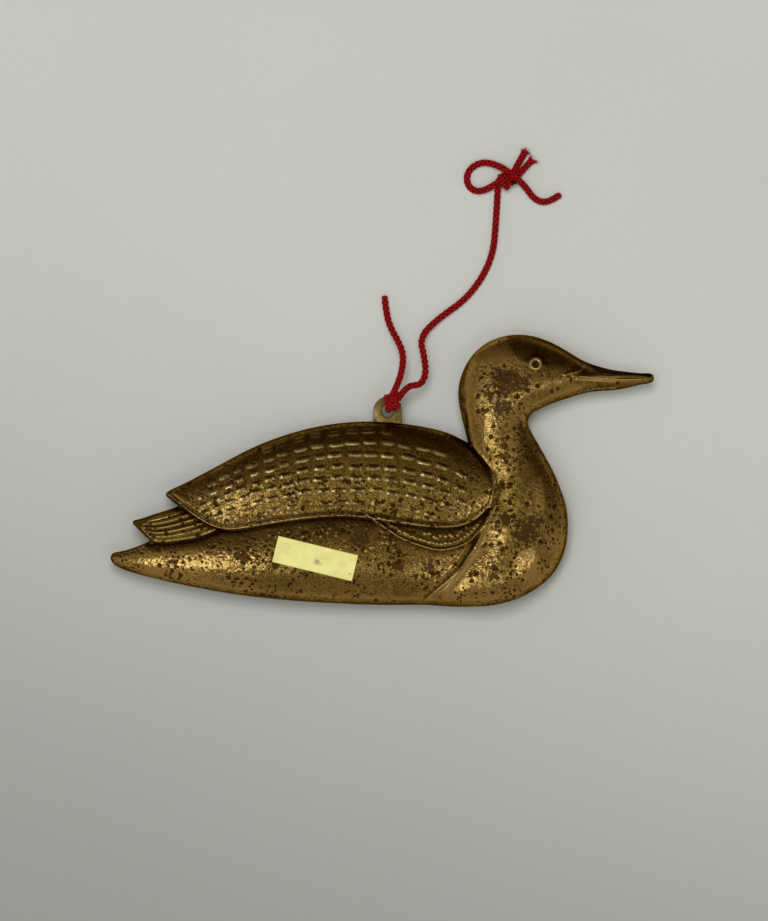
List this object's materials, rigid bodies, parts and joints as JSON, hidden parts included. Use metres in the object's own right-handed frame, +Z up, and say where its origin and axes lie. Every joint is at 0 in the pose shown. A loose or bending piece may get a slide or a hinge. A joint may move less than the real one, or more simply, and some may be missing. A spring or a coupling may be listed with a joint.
{
  "type": "pressed brass duck ornament",
  "caption": "Flat hollow duck ornament of two pressed brass halves, with a pierced hanging tab, a bare paper label and a red braided cord tied through the tab.",
  "frame": {"origin": "on the table under the middle of the brass, which lies on its back half", "axes": "+X to the bill, +Y to the duck's back and the hanging tab, +Z up from the table"},
  "size_m": [0.1017, 0.0859, 0.0093],
  "materials": {
    "brass": "aged pressed brass, satin, with brown tarnish and pits",
    "label": "bare cream-gold foil paper, slightly worn",
    "cord": "fine dark red braid"
  },
  "bodies": {
    "ornament": {"front_shell": "brass", "back_shell": "brass", "hanger_tab": "brass", "label": "label"},
    "cord": {"tie_knot": "cord", "long_strand": "cord", "short_strand": "cord", "bow_knot": "cord", "bow_loop": "cord", "upper_stub": "cord", "right_stub": "cord"}
  },
  "joints": [
    {"name": "cord_swing", "type": "hinge", "parent": "ornament", "child": "cord", "pos_m": [0.0009, 0.0112, 0.0046], "axis": [0, 0, 1], "range_deg": [-18, 90]}
  ]
}
